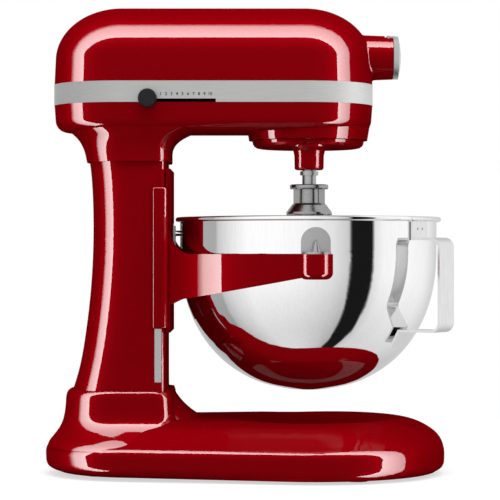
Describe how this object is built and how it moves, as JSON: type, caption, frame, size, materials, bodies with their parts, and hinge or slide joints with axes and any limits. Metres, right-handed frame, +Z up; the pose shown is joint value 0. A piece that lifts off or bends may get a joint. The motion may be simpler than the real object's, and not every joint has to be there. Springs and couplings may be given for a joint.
{
  "type": "stand mixer",
  "caption": "Bowl-lift stand mixer with a rounded head, planetary whip drive, polished bowl on a sliding yoke, lift lever, speed lever and a covered attachment hub.",
  "frame": {"origin": "centre of the bounding box, on the plane the rubber feet stand on", "axes": "+X to the front, where the attachment hub is, +Y to the side of the lift lever, +Z up"},
  "size_m": [0.3696, 0.288, 0.4284],
  "materials": {
    "red_enamel": "gloss",
    "satin_aluminium": "satin",
    "polished_steel": "polished",
    "steel": "satin",
    "dark_plastic": "matte",
    "black_rubber": "matte",
    "bronze": "satin",
    "copper": "satin",
    "nylon": "satin",
    "board_green": "satin"
  },
  "bodies": {
    "stand": {"base": "red_enamel", "base_feet": "black_rubber", "foot_screws": "steel", "column": "red_enamel", "guide_rails": "steel", "cord_grommet": "black_rubber", "column_bolts": "steel", "head_lower_case": "red_enamel", "head_top_cover": "red_enamel", "trim_band": "satin_aluminium", "hub_hinge_pin": "steel", "lever_bush": "bronze", "planetary_bearings": "steel", "ring_gear": "steel", "shaft_bearings": "steel", "field_core": "steel", "field_coils": "copper", "motor_end_bracket": "satin_aluminium", "carbon_brushes": "dark_plastic", "gear_bracket": "satin_aluminium", "front_bracket": "satin_aluminium", "control_board": "board_green"},
    "bowl_lift": {"bowl_support": "red_enamel", "slide_pads": "nylon", "locating_pins": "steel", "lift_yoke": "steel", "bowl": "polished_steel", "bowl_brackets": "polished_steel", "bowl_handle": "polished_steel", "bowl_latch_pin": "polished_steel", "spring_latch": "steel"},
    "lift_lever": {"crank_shaft": "steel", "crank_roller": "nylon", "lift_lever": "steel", "lever_knob": "dark_plastic"},
    "planetary": {"planetary_housing": "red_enamel", "planetary_shaft": "steel", "planetary_pin": "steel", "beater_bushes": "bronze", "main_bevel_gear": "steel"},
    "beater": {"beater_shaft": "steel", "beater_pinion": "steel", "beater_cross_pin": "steel", "beater_washer": "steel", "whip_hub": "steel", "whip_wires": "polished_steel"},
    "countershaft": {"countershaft": "steel", "intermediate_gear": "steel"},
    "hub_drive": {"hub_bevel_pinion": "steel", "hub_drive_shaft": "steel"},
    "motor_rotor": {"motor_shaft": "steel", "motor_armature": "steel", "commutator": "copper", "cooling_fan": "nylon"},
    "speed_lever": {"speed_lever": "steel", "speed_knob": "dark_plastic"},
    "hub_cover": {"hub_cover": "satin_aluminium"},
    "attachment_clamp": {"attachment_knob": "dark_plastic", "attachment_screw": "steel"}
  },
  "joints": [
    {"name": "bowl_slide", "type": "slide", "parent": "stand", "child": "bowl_lift", "axis": [0, 0, 1], "range_m": [-0.034, 0]},
    {"name": "lift_lever_hinge", "type": "hinge", "parent": "stand", "child": "lift_lever", "pos_m": [-0.098, 0, 0.188], "axis": [0, 1, 0], "range_deg": [-90.5, 0]},
    {"name": "planetary_spin", "type": "hinge", "parent": "stand", "child": "planetary", "pos_m": [0.0571, 0, 0.3], "axis": [0, 0, 1], "continuous": true},
    {"name": "beater_spin", "type": "hinge", "parent": "planetary", "child": "beater", "pos_m": [0.0571, -0.03375, 0.28], "axis": [0, 0, 1], "continuous": true},
    {"name": "countershaft_spin", "type": "hinge", "parent": "stand", "child": "countershaft", "pos_m": [0, 0, 0.383], "axis": [1, 0, 0], "continuous": true},
    {"name": "hub_drive_spin", "type": "hinge", "parent": "stand", "child": "hub_drive", "pos_m": [0.1, 0, 0.383], "axis": [1, 0, 0], "continuous": true},
    {"name": "motor_spin", "type": "hinge", "parent": "stand", "child": "motor_rotor", "pos_m": [-0.06, 0, 0.361], "axis": [1, 0, 0], "continuous": true},
    {"name": "speed_slide", "type": "slide", "parent": "stand", "child": "speed_lever", "axis": [1, 0, 0], "range_m": [0, 0.056]},
    {"name": "hub_cover_hinge", "type": "hinge", "parent": "stand", "child": "hub_cover", "pos_m": [0.1307, 0, 0.4011], "axis": [0, -1, 0], "range_deg": [0, 110]},
    {"name": "clamp_knob_turn", "type": "hinge", "parent": "stand", "child": "attachment_clamp", "pos_m": [0.122, 0.03, 0.383], "axis": [0, 1, 0], "range_deg": [0, 720]}
  ],
  "couplings": [
    {"joint": "lift_lever_hinge", "follows": "bowl_slide", "rad_per_m": 46.2},
    {"joint": "beater_spin", "follows": "planetary_spin", "ratio": -4},
    {"joint": "countershaft_spin", "follows": "planetary_spin", "ratio": -3},
    {"joint": "hub_drive_spin", "follows": "planetary_spin", "ratio": 3},
    {"joint": "motor_spin", "follows": "planetary_spin", "ratio": 10.2}
  ]
}
